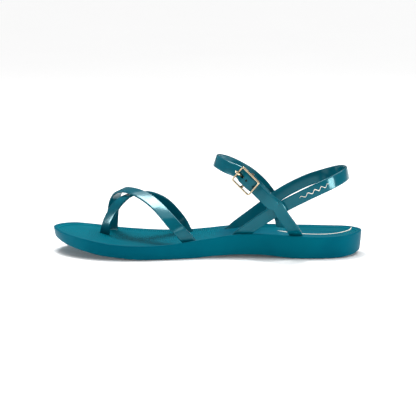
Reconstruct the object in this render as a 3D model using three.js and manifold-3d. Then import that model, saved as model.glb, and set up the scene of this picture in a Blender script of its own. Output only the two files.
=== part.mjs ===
// Women's moulded strappy sandal, left foot, European size 38.
// Millimetres. Toe towards -X, heel towards +X, outer (lateral) side towards -Y, +Z up, ground at z = 0.
import * as THREE from 'three';
import { mergeVertices } from 'three/addons/utils/BufferGeometryUtils.js';
import Module from 'manifold-3d';

const wasm = await Module();
wasm.setup();

// Driving dimensions ---------------------------------------------------------------------------
const soleLength = 252.3;
const ballWidth = 83.5;
const instepScale = 1; // height of every strap over the footbed, 1 for a size 38 foot

const rimWidth = 2.6; // smooth raised rim round the footbed
const rimHeight = 1.5; // rim top above the footbed edge
const dishDepth = 1.2; // how much lower the middle of the footbed is
const wallDraft = 1.2; // how far the wall leans in from rim to underside
const soleEdgeRadius = 1;

const treadProud = 0.4; // tread pads stand this far below the sole, in shallow recesses
const treadRecess = 1.6;
const treadInset = 1.6; // pad edge inside the edge of the underside
const grooveWidth = 2;
const grooveDepth = 0.9;
const groovePitch = 8;
const glueGap = 0.3;

const strapWidth = 10;
const strapThickness = 2;
const strapBevel = 0.45;
const layerGap = 0.35; // between two straps that lie on each other
const slotClearance = 0.35;
const plugMargin = 2.5; // flat plug moulded on each strap end, wider than the strap on each side
const plugBreadth = 7;
const plugLength = strapWidth + 2 * plugMargin;
const plugThickness = 2.2;
const plugDepth = 3; // plug face above the underside of the sole

const slingRock = [-6, 6]; // degrees, how far the heel strap rocks in its slots
const ankleRock = [-5, 5];

const barThickness = 1.6; // buckle casting, across its face
const barWidth = 1.4;
const frameLength = 19.5;
const frameClearance = 1.15; // strap edge to buckle side
const frameDrop = 0.7; // how far the buckle hangs below the strap's middle line
const barLift = 0.8; // strap face to the end bars of the buckle
const loopThickness = 1.4; // thinned stretch of the short strap that folds round the centre bar
const loopLength = 9.6; // from the centre bar to the end of the fold
const centreBarRadius = 0.7;
const runningGap = 0.3;
const prongRadius = 0.95;
const prongEyeWall = 1.3;
const holeRadius = 0.95;
const holePitch = 7.5;
const rivetRadius = 1.5;
const rivetHeadRadius = 2.9;
const rivetHeadThickness = 0.7;

// The shoe is drawn at its pattern size and graded to the driving sizes, as a last is.
const patternLength = 252.3;
const patternWidth = 83.5;
const gradeX = soleLength / patternLength;
const gradeY = ballWidth / patternWidth;

// Solids ---------------------------------------------------------------------------------------
function weld(geometry) {
  const bare = geometry.clone();
  bare.deleteAttribute('normal');
  bare.deleteAttribute('uv');
  const merged = mergeVertices(bare, 1e-4);
  const kept = [];
  for (let i = 0; i < merged.index.count; i += 3) {
    const [a, b, c] = [0, 1, 2].map((k) => merged.index.getX(i + k));
    if (a !== b && b !== c && c !== a) kept.push(a, b, c);
  }
  merged.setIndex(kept);
  return merged;
}

function toSolid(geometry) {
  const merged = weld(geometry);
  const vertProperties = new Float32Array(merged.attributes.position.array);
  const build = (indices) => new wasm.Manifold(
    new wasm.Mesh({ numProp: 3, vertProperties, triVerts: new Uint32Array(indices) }));
  const solid = build(merged.index.array);
  if (solid.volume() > 0) return solid;
  return build(Array.from(merged.index.array).reverse());
}

function toGeometry(solid) {
  const mesh = solid.getMesh();
  const geometry = new THREE.BufferGeometry();
  geometry.setAttribute('position', new THREE.BufferAttribute(new Float32Array(mesh.vertProperties), 3));
  geometry.setIndex(new THREE.BufferAttribute(new Uint32Array(mesh.triVerts), 1));
  const faceted = geometry.toNonIndexed();
  faceted.computeVertexNormals();
  return faceted;
}

function moved(geometry, matrix) {
  return toSolid(geometry.clone().applyMatrix4(matrix));
}

function joined(solids) {
  return solids.reduce((whole, solid) => whole.add(solid));
}

// Smooth curve through a few hand-set points of a side view.
function smooth(points) {
  return (x) => {
    const last = points.length - 1;
    const i = Math.max(0, Math.min(last - 1, points.findIndex((p) => p[0] >= x) - 1));
    if (x >= points[last][0]) return points[last][1];
    const slope = (k) => {
      const [from, to] = [points[Math.max(0, k - 1)], points[Math.min(last, k + 1)]];
      return (to[1] - from[1]) / (to[0] - from[0]);
    };
    const [x0, z0] = points[i];
    const [x1, z1] = points[i + 1];
    const span = x1 - x0;
    const t = Math.max(0, (x - x0) / span);
    const rise = z1 - z0;
    const [m0, m1] = [slope(i) * span, slope(i + 1) * span];
    return z0 + t * (m0 + t * (3 * rise - 2 * m0 - m1 + t * (m0 + m1 - 2 * rise)));
  };
}

// Sole -----------------------------------------------------------------------------------------
// Side views at the pattern length.
const rimLine = smooth([[-127.3, 19.8], [-117, 18.3], [-100, 16.1], [-75, 13], [-50, 11.9], [-25, 12.8],
  [0, 16.1], [20, 18.8], [45, 19.9], [75, 18.4], [100, 17.9], [125, 19.6]]);
const groundLine = smooth([[-127.3, 12], [-121, 10.2], [-114, 8.2], [-101.4, 5.7], [-95, 4.6],
  [-85, 2.9], [-73, 1.8], [-62, 0.7], [-53, 0.05], [-45, 0], [-40, 0], [-13, 0], [-8, 0], [-1, 0.7],
  [12, 1.5], [25, 2.1], [44, 2.1], [53, 1.4], [64, 0.2], [70, 0], [75, 0], [98, 0], [104, 0], [111, 0.4],
  [118, 1.3], [125, 3.4]]);

const rimZ = (x) => rimLine(x / gradeX);
const groundZ = (x) => Math.max(0, groundLine(x / gradeX)); // lower face of the tread pads
const undersideZ = (x) => groundZ(x) + treadProud;

// Plan of the sole at its rim, from the toe tip round the inner side to the heel and back.
const planPoints = [[-127.3, 8], [-122.5, 26], [-112.5, 38], [-97, 42], [-80, 42.6], [-60, 41.5],
  [-35, 36], [-5, 26], [30, 21], [60, 24], [90, 29], [113, 22], [125, 0], [113, -22], [90, -30], [60, -29], [30, -26.5], [0, -29],
  [-30, -36.5], [-55, -41], [-80, -39], [-103, -28.5], [-119.5, -12]];
const plan = new THREE.CatmullRomCurve3(
  planPoints.map(([x, y]) => new THREE.Vector3(x * gradeX, y * gradeY, 0)), true, 'centripetal');
const planSamples = plan.getPoints(600);
const toeX = Math.min(...planSamples.map((p) => p.x));
const heelX = Math.max(...planSamples.map((p) => p.x));
const tipIndex = planSamples.findIndex((p) => p.x === toeX);
const backIndex = planSamples.findIndex((p) => p.x === heelX);
const innerSide = planSamples.slice(tipIndex, backIndex + 1);
const outerSide = planSamples.slice(backIndex).concat(planSamples.slice(1, tipIndex + 1)).reverse();

function sideY(side, x) {
  if (x <= side[0].x) return side[0].y;
  const i = side.findIndex((p) => p.x >= x);
  if (i < 1) return side[side.length - 1].y;
  const share = (x - side[i - 1].x) / (side[i].x - side[i - 1].x);
  return THREE.MathUtils.lerp(side[i - 1].y, side[i].y, share);
}

// Middle line of the sole; the ends of the footbed fan out from its two end points.
function spineAt(x) {
  const clamped = THREE.MathUtils.clamp(x, toeX + 34 * gradeX, heelX - 28 * gradeX);
  return new THREE.Vector2(clamped, (sideY(innerSide, clamped) + sideY(outerSide, clamped)) / 2);
}

// Plan of a whole solid from its toe end to its heel end: pairs of edge points with one x each.
function soleOutline(steps) {
  const half = (side, k) => {
    const x = THREE.MathUtils.lerp(toeX, heelX, (1 - Math.cos((Math.PI * k) / steps)) / 2);
    return new THREE.Vector2(x, sideY(side, x));
  };
  const inner = Array.from({ length: steps }, (_, k) => half(innerSide, k));
  const outer = Array.from({ length: steps + 1 }, (_, k) => half(outerSide, steps - k));
  return inner.concat(outer);
}

// A lathe whose profile is (share of the way from the middle line to the edge, height) and whose
// round is replaced by the outline. A ring is { inset, share, z(x, share) }, inset in millimetres.
function loft(outline, rings, centreOf) {
  const profile = rings.map((_, j) => new THREE.Vector2(j ? 1 : 0, j));
  const lathe = new THREE.LatheGeometry(profile, outline.length - 1);
  const place = lathe.attributes.position;
  outline.forEach((edge, i) => {
    const centre = centreOf(edge);
    const reach = edge.distanceTo(centre);
    rings.forEach((ring, j) => {
      const share = Math.max(0, (ring.share ?? 1) - (ring.inset ?? 0) / reach);
      const spot = centre.clone().lerp(edge, share);
      place.setXYZ(i * rings.length + j, spot.x, spot.y, ring.z(spot.x, share));
    });
  });
  return toSolid(lathe);
}

function roundedEdge(inset, height, radius, side) {
  return [0, 30, 60, 90].map((degrees) => {
    const turn = THREE.MathUtils.degToRad(degrees);
    return {
      inset: inset + radius * (1 - Math.sin(turn)),
      z: (x) => height(x) + side * radius * (1 - Math.cos(turn)),
    };
  });
}

function footbedZ(x, share = 0) {
  return rimZ(x) - rimHeight - dishDepth * (1 - share ** 2);
}

function soleBlank() {
  const bed = (share) => ({ share, z: (x) => footbedZ(x, share) });
  const wallFoot = roundedEdge(wallDraft, undersideZ, soleEdgeRadius, 1);
  const rings = [
    { share: 0, z: undersideZ },
    { share: 0.5, z: undersideZ },
    ...wallFoot,
    ...roundedEdge(0, rimZ, 0.7, -1).reverse(),
    { inset: rimWidth, z: rimZ },
    { inset: rimWidth + 0.5, z: (x) => rimZ(x) - 0.35 },
    { inset: rimWidth + 1.6, z: (x) => footbedZ(x, 1) },
    bed(0.66),
    bed(0.33),
    bed(0),
  ];
  return loft(soleOutline(46), rings, (edge) => spineAt(edge.x));
}

// Tread pads -----------------------------------------------------------------------------------
function padOutline(from, to, steps, grow) {
  const inset = wallDraft + treadInset - grow;
  const corner = 9;
  const half = (side, k) => {
    const x = THREE.MathUtils.lerp(from - grow, to + grow, (1 - Math.cos((Math.PI * k) / steps)) / 2);
    const edge = new THREE.Vector2(x, sideY(side, x));
    const reach = THREE.MathUtils.clamp(Math.min(x - from + grow, to + grow - x) / corner, 0, 1);
    const squeeze = 0.55 + 0.45 * Math.sqrt(1 - (1 - reach) ** 2);
    const centreY = spineAt(x).y;
    const away = Math.sign(edge.y - centreY);
    edge.y = centreY + (edge.y - centreY - away * inset) * squeeze;
    return edge;
  };
  const inner = Array.from({ length: steps + 1 }, (_, k) => half(innerSide, k));
  const outer = Array.from({ length: steps + 1 }, (_, k) => half(outerSide, steps - k));
  return inner.concat(outer, [inner[0].clone()]);
}

// Closed slab under the sole between two heights, its lower edge eased by `ease`.
function padSlab(from, to, { grow = 0, ease = 0, bottom, top }) {
  const middle = (edge) => {
    const x = THREE.MathUtils.clamp(edge.x, from + 6, to - 6);
    return new THREE.Vector2(x, spineAt(x).y);
  };
  const rings = [
    { share: 0, z: bottom },
    { share: 0.5, z: bottom },
    { inset: ease, z: bottom },
    { inset: 0, z: (x) => bottom(x) + ease },
    { inset: 0, z: top },
    { share: 0.5, z: top },
    { share: 0, z: top },
  ];
  return loft(padOutline(from, to, 22, grow), rings, middle);
}

const recessCutter = ([from, to]) => padSlab(from, to, {
  grow: glueGap, ease: 0.01, bottom: (x) => undersideZ(x) - 4, top: (x) => undersideZ(x) + treadRecess,
});

function treadPad([from, to]) {
  const top = (x) => undersideZ(x) + treadRecess - glueGap;
  const blank = padSlab(from, to, { ease: 0.5, bottom: groundZ, top });
  const cutters = [];
  const count = Math.floor((to - from - 2 * groovePitch) / groovePitch);
  for (let i = 0; i <= count; i += 1) {
    const x = (from + to) / 2 + (i - count / 2) * groovePitch;
    const groove = new THREE.BoxGeometry(grooveWidth, 2 * ballWidth, 2 * grooveDepth);
    const here = new THREE.Matrix4().makeTranslation(x, 0, groundZ(x));
    cutters.push(moved(groove, here));
  }
  return blank.subtract(joined(cutters));
}

const forefootPad = [-86 * gradeX, 1 * gradeX];
const heelPad = [60 * gradeX, 114 * gradeX];

// Straps ---------------------------------------------------------------------------------------
// A route is a list of stations: a point on the strap's middle line and the direction across it.
const station = (x, y, z, ax, ay, az) => ({
  at: new THREE.Vector3(x * gradeX, y * gradeY, z * instepScale),
  across: new THREE.Vector3(ax, ay, az).normalize(),
});

// The band runs straight on past its plug, and is trimmed level with the plug's lower face.
function beyond(plugStation, next) {
  const at = plugStation.at.clone().lerp(next.at, -0.8);
  return { at, across: plugStation.across.clone() };
}

class Route {
  constructor(stations, ends) {
    const run = [...stations];
    if (ends.includes('start')) run.unshift(beyond(stations[0], stations[1]));
    if (ends.includes('end')) run.push(beyond(stations[stations.length - 1], stations[stations.length - 2]));
    this.spans = run.length - 1;
    this.plugs = ends.map((end) => (end === 'start' ? 1 : this.spans - 1) / this.spans);
    this.path = new THREE.CatmullRomCurve3(run.map((s) => s.at), false, 'catmullrom', 0.5);
    this.lean = new THREE.CatmullRomCurve3(run.map((s) => s.across), false, 'catmullrom', 0.5);
  }

  // Basis at t: x across the strap, y out of its face, z along it.
  frameAt(t) {
    const along = this.path.getTangent(t);
    const across = this.lean.getPoint(t);
    across.addScaledVector(along, -across.dot(along)).normalize();
    const face = new THREE.Vector3().crossVectors(along, across);
    return new THREE.Matrix4().makeBasis(across, face, along).setPosition(this.path.getPoint(t));
  }
}

function strapSection(width, thickness, bevel) {
  const [w, t] = [width / 2, thickness / 2];
  const corners = [[-w + bevel, -t], [w - bevel, -t], [w, -t + bevel], [w, t - bevel], [w - bevel, t],
    [-w + bevel, t], [-w, t - bevel], [-w, -t + bevel]];
  return new THREE.Shape(corners.map(([x, y]) => new THREE.Vector2(x, y)));
}

// Extrudes the section straight and bends it along the route. The two size functions give the
// share of the full width and of the full thickness at t.
function bentStrap(route, options = {}) {
  const { grow = 0, from = 0, to = 1, perSpan = 4, widthAt = () => 1, thicknessAt = () => 1 } = options;
  const steps = Math.round((to - from) * route.spans * perSpan);
  const section = strapSection(strapWidth + 2 * grow, strapThickness + 2 * grow, strapBevel);
  const bar = new THREE.ExtrudeGeometry(section, { depth: 1, steps, bevelEnabled: false });
  const place = bar.attributes.position;
  const spot = new THREE.Vector3();
  for (let i = 0; i < place.count; i += 1) {
    spot.fromBufferAttribute(place, i);
    const t = THREE.MathUtils.lerp(from, to, spot.z);
    spot.set(spot.x * widthAt(t), spot.y * thicknessAt(t), 0).applyMatrix4(route.frameAt(t));
    place.setXYZ(i, spot.x, spot.y, spot.z);
  }
  return toSolid(bar);
}

// Plug under the sole at a route's end: a flat plate, level, its long side along the strap's width.
function plugMatrix(route, t) {
  const frame = route.frameAt(t);
  const across = new THREE.Vector3().setFromMatrixColumn(frame, 0).setZ(0).normalize();
  const up = new THREE.Vector3(0, 0, 1);
  const place = new THREE.Vector3().setFromMatrixPosition(frame);
  return new THREE.Matrix4().makeBasis(across, up.clone().cross(across), up).setPosition(place);
}

function plug(route, t) {
  return moved(new THREE.BoxGeometry(plugLength, plugBreadth, plugThickness), plugMatrix(route, t));
}

// What a strap end needs cut out of the sole: its slot, and a pocket open to the underside.
function anchorCutter(route, t) {
  const reach = 3.5 / route.spans;
  const end = t < 0.5 ? { from: 0, to: reach } : { from: 1 - reach, to: 1 };
  const slot = bentStrap(route, { ...end, grow: slotClearance });
  const deep = plugThickness + plugDepth + 3;
  const pocket = new THREE.BoxGeometry(plugLength + 2 * slotClearance, plugBreadth + 2 * slotClearance, deep);
  pocket.translate(0, 0, plugThickness / 2 + slotClearance - deep / 2);
  return slot.add(moved(pocket, plugMatrix(route, t)));
}

// The same cut swept through the angles that a rocking strap reaches about its pivot.
function rockingCutter(route, t, pivot, range) {
  const cutter = anchorCutter(route, t);
  const turned = (degrees) => {
    const [dx, dz] = [pivot.x, pivot.z];
    return cutter.translate([-dx, 0, -dz]).rotate([0, degrees, 0]).translate([dx, 0, dz]);
  };
  const angles = [range[0], 0, range[1]];
  return joined(angles.map(turned));
}

// The station of a strap's plug, in its pocket under the sole.
function anchor(x, y, ax, ay, az) {
  const plugZ = undersideZ(x * gradeX) + plugDepth + plugThickness / 2;
  return station(x, y, plugZ / instepScale, ax, ay, az);
}

// Ball of the foot on the outer side, up over the toes, down on the inner side of the big toe.
const overCross = [-62.8, 12.9, 48.1];
const overRoute = new Route([
  anchor(-9, -23.5, -0.87, 0, -0.48),
  station(-13.5, -26.8, 12.5, -0.8, 0, -0.6),
  station(-25.5, -27.5, 25.8, -0.78, -0.19, -0.6),
  station(-39.3, -13.5, 38.3, -0.79, -0.5, -0.36),
  station(-50.5, 0, 44.8, -0.72, -0.56, -0.38),
  station(...overCross, -0.7, -0.65, -0.25),
  station(-73.3, 24, 46.7, -0.71, -0.65, -0.27),
  station(-78.6, 32.1, 38.7, -0.81, -0.58, -0.08),
  station(-80.8, 36, 27.4, -0.92, -0.39, 0.03),
  station(-82, 36.4, 13.2, -0.99, -0.14, 0.08),
  anchor(-82, 34.6, -1, 0, 0),
], ['start', 'end']);

// Ball of the foot on the inner side, under the first strap at the crossing, down between the toes.
const crossDrop = (strapThickness + 4 * layerGap) / instepScale;
const underRoute = new Route([
  anchor(-14.8, 21.8, -0.9, 0, -0.45),
  station(-19, 25.3, 12.5, -0.89, -0.07, -0.45),
  station(-24.9, 29, 22.2, -0.8, 0.19, -0.57),
  station(-37, 27.1, 36.4, -0.65, 0.46, -0.6),
  station(-51, 21.1, 44.2, -0.58, 0.66, -0.46),
  station(overCross[0] - 0.5, overCross[1] + 1.5, overCross[2] - crossDrop, -0.43, 0.9, -0.08),
  station(-71.5, 11.2, 40.3, -0.5, 0.82, 0.2),
  station(-77.8, 11.9, 33, -0.52, 0.72, 0.4),
  station(-83.4, 14.1, 22.3, -0.66, 0.68, 0.3),
  station(-86, 15.9, 12, -0.8, 0.59, 0.1),
  anchor(-86.4, 16.6, -0.8, 0.6, 0),
], ['start', 'end']);

// Heel strap, from the arch on the outer side round the heel to the arch on the inner side.
const slingRoute = new Route([
  anchor(16.5, -19.5, -0.8, 0, 0.6),
  station(25, -21.2, 16.5, -0.75, -0.1, 0.6),
  station(43.2, -28, 31.4, -0.64, -0.2, 0.75),
  station(60.7, -31, 42.9, -0.55, -0.12, 0.81),
  station(80, -31.5, 53, -0.42, -0.05, 0.9),
  station(97, -27.5, 60.5, -0.33, -0.04, 0.94),
  station(108.6, -16, 65, -0.25, -0.03, 0.97),
  station(112.6, 0, 66, -0.22, 0, 0.98),
  station(108.6, 16, 65, -0.25, 0.02, 0.97),
  station(97, 27.5, 60.5, -0.31, 0, 0.95),
  station(80, 31, 54.2, -0.4, -0.01, 0.91),
  station(60, 29.8, 43.8, -0.53, 0, 0.84),
  station(40.5, 26.3, 29.8, -0.59, 0.04, 0.81),
  station(21, 17, 16.3, -0.7, 0.1, 0.65),
  anchor(12.5, 15.4, -0.8, 0, 0.6),
], ['start', 'end']);

// Buckle basis: x along the strap towards its tip, y across it upwards, z out of its face.
const buckleOrigin = new THREE.Vector3(31 * gradeX, -36 * gradeY, 64.1 * instepScale);
const buckleAlong = new THREE.Vector3(0.7, -0.28, -0.656).normalize();
const buckleUp = new THREE.Vector3(0.614, -0.22, 0.755);
const buckleFace = new THREE.Vector3().crossVectors(buckleAlong, buckleUp).normalize();
const buckleAcross = new THREE.Vector3().crossVectors(buckleFace, buckleAlong);
const buckleMatrix = new THREE.Matrix4().makeBasis(buckleAlong, buckleAcross, buckleFace)
  .setPosition(buckleOrigin);

const barX = frameLength / 2 - barWidth / 2;
const strapUnderBar = -(barThickness / 2 + barLift + strapThickness / 2);
const strapOverCentre = -0.6;
const outerLayer = strapOverCentre - strapThickness / 2 - layerGap - loopThickness / 2;
const centreBarZ = outerLayer - loopThickness / 2 - runningGap - centreBarRadius;
const tailStep = strapThickness + layerGap;

function atBuckle(along, out) {
  const place = new THREE.Vector3(along, 0, out).applyMatrix4(buckleMatrix);
  return { at: place, across: buckleAcross.clone() };
}

// Long ankle strap, from the inner side round the front of the ankle, through the buckle.
const longRoute = new Route([
  anchor(62, 17.2, 0.97, 0, 0.22),
  station(61, 18.9, 16.5, 0.93, 0.02, 0.35),
  station(58.1, 31.6, 28.8, 0.88, 0, 0.46),
  station(52.7, 35, 39.5, 0.8, -0.01, 0.6),
  station(44.2, 35.5, 50.6, 0.71, -0.01, 0.7),
  station(34.4, 33.5, 59.7, 0.62, 0, 0.78),
  station(24.5, 29, 66.3, 0.51, 0.01, 0.86),
  station(15.6, 21, 71.4, 0.42, 0.04, 0.9),
  station(9, 11, 74.4, 0.35, 0.03, 0.93),
  station(6.4, 0, 75.4, 0.31, 0, 0.95),
  station(9, -11, 74.9, 0.35, -0.05, 0.93),
  station(15.2, -21.3, 72.9, 0.42, -0.1, 0.9),
  atBuckle(-barX, strapUnderBar),
  atBuckle(-barX / 2, strapOverCentre - 0.25),
  atBuckle(0, strapOverCentre),
  atBuckle(barX / 2, strapOverCentre - 0.25),
  atBuckle(barX, strapUnderBar),
  atBuckle(barX + 6, strapUnderBar + 0.1),
  atBuckle(barX + 14, strapUnderBar - 0.2),
  atBuckle(barX + 23, strapUnderBar - 2.6),
], ['start']);

// Short ankle strap, from the outer side up under the long strap, folded round the centre bar.
const foldX = -loopLength;
const innerLayer = centreBarZ - 2.6;
const shortRoute = new Route([
  anchor(76.5, -21.2, -0.87, 0, -0.45),
  station(71.8, -23.9, 17, -0.88, 0.2, -0.3),
  station(66.3, -31, 27, -0.84, 0.3, -0.45),
  station(60.2, -34.8, 36, -0.8, 0.3, -0.51),
  atBuckleShort(barX + 22, strapUnderBar - 3.4 - tailStep),
  atBuckleShort(barX + 12, strapUnderBar - tailStep),
  atBuckleShort(barX + 4, strapUnderBar - tailStep),
  atBuckleShort(barX, strapUnderBar - tailStep + 0.1),
  atBuckleShort(barX / 2, outerLayer - 0.6),
  atBuckleShort(0, outerLayer),
  atBuckleShort(-barX / 2, outerLayer - 0.5),
  atBuckleShort(foldX + 1.2, outerLayer - 2),
  atBuckleShort(foldX, (outerLayer + innerLayer) / 2 - 0.8),
  atBuckleShort(foldX + 1.4, innerLayer - 1),
  atBuckleShort(-barX / 2, innerLayer - 1.1),
  atBuckleShort(0, innerLayer - 0.8),
  atBuckleShort(barX / 2, innerLayer - 0.6),
  atBuckleShort(barX, strapUnderBar - 2 * tailStep - 0.9),
  atBuckleShort(barX + 5, strapUnderBar - 2 * tailStep + 0.3),
  atBuckleShort(barX + 11, strapUnderBar - 2 * tailStep + 0.35),
], ['start']);

function atBuckleShort(along, out) {
  const spot = atBuckle(along, out);
  spot.across.negate();
  return spot;
}

function anchoredStrap(route, options) {
  const trims = route.plugs.map((t) => {
    const under = new THREE.BoxGeometry(60, 60, 20);
    under.translate(0, 0, -10 - plugThickness / 2);
    return moved(under, plugMatrix(route, t));
  });
  const plugs = route.plugs.map((t) => plug(route, t));
  return joined([bentStrap(route, options).subtract(joined(trims)), ...plugs]);
}

function parameterNear(route, place) {
  const samples = Array.from({ length: 1201 }, (_, i) => i / 1200);
  const distance = (t) => route.path.getPoint(t).distanceTo(place);
  return samples.reduce((best, t) => (distance(t) < distance(best) ? t : best));
}

// Width share that rounds the strap's tip to a half circle.
function roundTip(route) {
  const tip = route.path.getPoint(1);
  return (t) => {
    if (t < 0.9) return 1;
    const back = Math.min(1, route.path.getPoint(t).distanceTo(tip) / (strapWidth / 2));
    return Math.max(0.28, Math.sqrt(1 - (1 - back) ** 2));
  };
}

// Prong ----------------------------------------------------------------------------------------
const eyeBore = centreBarRadius + runningGap;
const eyeRadius = eyeBore + prongEyeWall;
const prongOverBar = barThickness / 2 + runningGap + prongRadius;
const prongPath = new THREE.CatmullRomCurve3([
  [-eyeBore - 0.2, centreBarZ + 0.3],
  [-3.6, centreBarZ + 1.25],
  [-5.8, -0.9],
  [-barX + 1.5, prongOverBar - 0.35],
  [-barX, prongOverBar + 0.3],
  [-barX - 1.8, prongOverBar + 0.25],
].map(([along, out]) => new THREE.Vector3(along, 0, out)));

function prong() {
  const round = new THREE.Shape().absarc(0, 0, prongRadius, 0, 2 * Math.PI, false);
  const arm = new THREE.ExtrudeGeometry(round, { extrudePath: prongPath, steps: 12, curveSegments: 5 });
  const half = prongRadius;
  const wall = [[eyeBore, -half], [eyeRadius, -half], [eyeRadius, half], [eyeBore, half], [eyeBore, -half]];
  const eye = new THREE.LatheGeometry(wall.map(([r, y]) => new THREE.Vector2(r, y)), 20);
  const toBar = new THREE.Matrix4().makeTranslation(0, 0, centreBarZ);
  return inPlace(toSolid(arm).add(moved(eye, toBar)));
}

// A slot with round ends for the prong, along the strap between two places, through the given layer.
function prongSlot(from, to, low, high) {
  const radius = prongRadius + slotClearance;
  const oval = new THREE.Shape();
  oval.absarc(to - radius, 0, radius, -Math.PI / 2, Math.PI / 2, false);
  oval.absarc(from + radius, 0, radius, Math.PI / 2, 1.5 * Math.PI, false);
  const cut = new THREE.ExtrudeGeometry(oval, { depth: high - low, bevelEnabled: false, curveSegments: 6 });
  return inPlace(moved(cut, new THREE.Matrix4().makeTranslation(0, 0, low)));
}

function inPlace(solid) {
  return solid.transform(buckleMatrix.elements);
}

// Buckle frame ---------------------------------------------------------------------------------
function frameRing() {
  const innerHalf = strapWidth / 2 + frameClearance;
  const [halfX, halfY] = [frameLength / 2, innerHalf + barWidth];
  const bevel = 0.3;
  const ring = (x, y, r) => {
    const shape = new THREE.Path();
    shape.absarc(x - r, y - r, r, 0, Math.PI / 2);
    shape.absarc(r - x, y - r, r, Math.PI / 2, Math.PI);
    shape.absarc(r - x, r - y, r, Math.PI, 1.5 * Math.PI);
    shape.absarc(x - r, r - y, r, 1.5 * Math.PI, 2 * Math.PI);
    shape.closePath();
    return shape;
  };
  const outline = new THREE.Shape(ring(halfX - bevel, halfY - bevel, 1.5).getPoints(4));
  outline.holes.push(new THREE.Path(ring(halfX - barWidth + bevel, innerHalf + bevel, 0.9).getPoints(4)));
  const flat = new THREE.ExtrudeGeometry(outline, {
    depth: barThickness - 2 * bevel,
    bevelThickness: bevel,
    bevelSize: bevel,
    bevelSegments: 1,
    curveSegments: 4,
  });
  return moved(flat, new THREE.Matrix4().makeTranslation(0, 0, bevel - barThickness / 2));
}

function buckleFrame() {
  const railY = strapWidth / 2 + frameClearance + barWidth / 2;
  const bar = new THREE.CylinderGeometry(centreBarRadius, centreBarRadius, 2 * railY, 16);
  const centreBar = moved(bar, new THREE.Matrix4().makeTranslation(0, 0, centreBarZ));
  const lugHeight = -centreBarZ + centreBarRadius;
  const lugs = [-1, 1].map((side) => {
    const lug = new THREE.BoxGeometry(2.4, barWidth - 0.2, lugHeight);
    const middleZ = (centreBarZ - centreBarRadius) / 2;
    return moved(lug, new THREE.Matrix4().makeTranslation(0, side * railY, middleZ));
  });
  return inPlace(joined([frameRing(), centreBar, ...lugs]).translate([0, -frameDrop, 0]));
}

// Rivet that closes the fold ---------------------------------------------------------------------
const rivetT = parameterNear(shortRoute, atBuckle(barX + 7.5, strapUnderBar - tailStep).at);
const rivetFrame = shortRoute.frameAt(rivetT);
const thinShare = loopThickness / strapThickness;
const shortThickness = (t) => {
  const share = THREE.MathUtils.clamp(t * shortRoute.spans - 7, 0, 1);
  return 1 - (1 - thinShare) * share;
};

// A cylinder on the rivet's axis between two heights over the short strap's middle.
function rivetDisc(radius, from, to) {
  const disc = new THREE.CylinderGeometry(radius, radius, to - from, 24);
  disc.translate(0, (from + to) / 2, 0);
  return moved(disc, rivetFrame);
}

const headTop = strapThickness / 2 - 0.3;
const headFoot = headTop - rivetHeadThickness;
const capTop = -strapThickness / 2 - layerGap - loopThickness - 2 * runningGap;
const capFoot = capTop - rivetHeadThickness;

const rivetStud = () => rivetDisc(rivetHeadRadius, headFoot, headTop)
  .add(rivetDisc(rivetRadius, capFoot, headFoot));
const rivetCap = () => rivetDisc(rivetHeadRadius, capFoot, capTop)
  .subtract(rivetDisc(rivetRadius + runningGap, capFoot - 1, capTop + 1));
const rivetCutter = () => rivetDisc(rivetHeadRadius + runningGap, headFoot - runningGap, headTop + 1)
  .add(rivetDisc(rivetRadius + runningGap, capFoot - 1, headTop));

// The pieces -----------------------------------------------------------------------------------
const slingPivot = new THREE.Vector3(19 * gradeX, 0, 11.5);
const anklePivot = new THREE.Vector3(68 * gradeX, 0, 11.5);

function soleBody() {
  const fixed = [overRoute, underRoute].flatMap((route) => route.plugs.map((t) => anchorCutter(route, t)));
  const heel = slingRoute.plugs.map((t) => rockingCutter(slingRoute, t, slingPivot, slingRock));
  const ankle = [longRoute, shortRoute]
    .map((route) => rockingCutter(route, route.plugs[0], anklePivot, ankleRock));
  const recesses = [forefootPad, heelPad].map(recessCutter);
  return soleBlank().subtract(joined([...recesses, ...fixed, ...heel, ...ankle]));
}

function strapHoles() {
  return [0, 1].map((i) => {
    const t = parameterNear(longRoute, atBuckle(i * holePitch, strapOverCentre).at);
    const drill = new THREE.CylinderGeometry(holeRadius, holeRadius, 3 * strapThickness, 16);
    return moved(drill, longRoute.frameAt(t));
  });
}

function ankleStrapLong() {
  const band = anchoredStrap(longRoute, { widthAt: roundTip(longRoute) });
  const hole = prongSlot(-barX + 0.9, -barX + 5.8, strapUnderBar - strapThickness, barThickness);
  return band.subtract(joined([hole, ...strapHoles()]));
}

function ankleStrapShort() {
  const band = anchoredStrap(shortRoute, { thicknessAt: shortThickness });
  const slot = prongSlot(-eyeRadius - 3.8, eyeRadius + 0.5, centreBarZ - 0.7, strapOverCentre);
  return band.subtract(joined([slot, rivetCutter()]));
}

const vinyl = { color: 0x13707f, roughness: 0.22, metalness: 0 };
const tread = { color: 0x0b5c6c, roughness: 0.6, metalness: 0 };
const paleGold = { color: 0xd9c3a0, roughness: 0.25, metalness: 1 };

const pieces = [
  ['sole_body', soleBody(), { ...vinyl, roughness: 0.4 }],
  ['forefoot_tread', treadPad(forefootPad), tread],
  ['heel_tread', treadPad(heelPad), tread],
  ['toe_over_strap', anchoredStrap(overRoute), vinyl],
  ['toe_under_strap', anchoredStrap(underRoute), vinyl],
  ['slingback_strap', anchoredStrap(slingRoute), vinyl],
  ['ankle_strap_long', ankleStrapLong(), vinyl],
  ['ankle_strap_short', ankleStrapShort(), vinyl],
  ['fold_rivet_stud', rivetStud(), paleGold],
  ['fold_rivet_cap', rivetCap(), paleGold],
  ['buckle_frame', buckleFrame(), paleGold],
  ['buckle_prong', prong(), paleGold],
];

// The origin is the middle of the whole sandal's box in plan, on the ground.
const boxes = pieces.map(([, solid]) => solid.boundingBox());
const middle = [0, 1].map((axis) => {
  const low = Math.min(...boxes.map((box) => box.min[axis]));
  const high = Math.max(...boxes.map((box) => box.max[axis]));
  return (low + high) / 2;
});

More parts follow.
